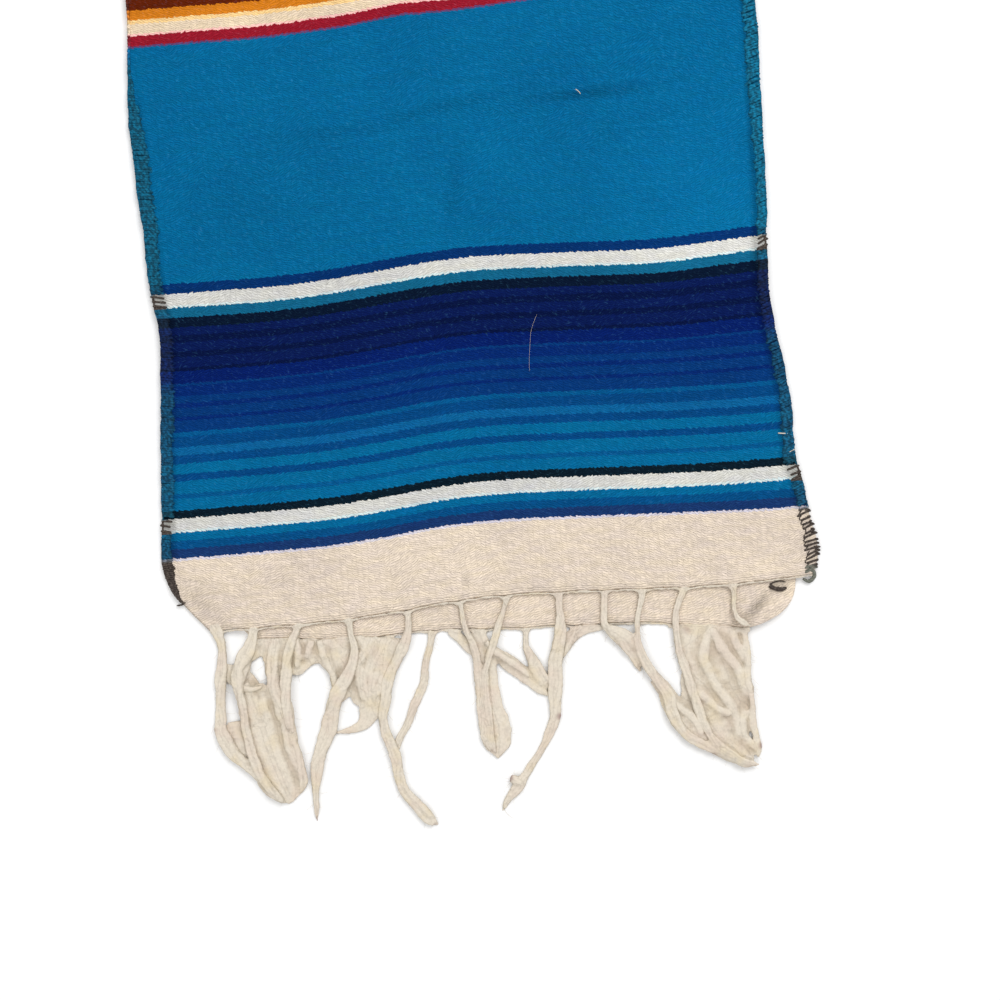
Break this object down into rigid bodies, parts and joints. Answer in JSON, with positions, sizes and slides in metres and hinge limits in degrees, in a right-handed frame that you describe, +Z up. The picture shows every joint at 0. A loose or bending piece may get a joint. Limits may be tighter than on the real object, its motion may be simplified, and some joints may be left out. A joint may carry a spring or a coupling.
{
  "type": "folded striped serape runner with a knotted fringe",
  "caption": "Narrow striped serape in weft-faced cloth, doubled end to end and lying flat, with overlocked sides and a matted cream warp fringe hanging from both ends.",
  "frame": {"origin": "a point on the flat underside of the lower layer, at the middle of the folded cloth and fringe, where they rest on a surface", "axes": "+X along the stripes, to the right of somebody who stands at the fringe; +Y from the fringe to the fold; +Z up, out of the upper layer"},
  "size_m": [0.3529, 0.819, 0.0075],
  "materials": {
    "woven_cloth": "matte, slightly fuzzy weft-faced weave in turquoise, blues, black, white and cream stripes",
    "warp_yarn": "matte felted cream yarn, matted into locks",
    "overlock_thread": "matte black spun sewing thread"
  },
  "bodies": {
    "root": {"serape_cloth": "woven_cloth", "fringe_upper": "warp_yarn", "fringe_lower": "warp_yarn"}
  },
  "joints": []
}
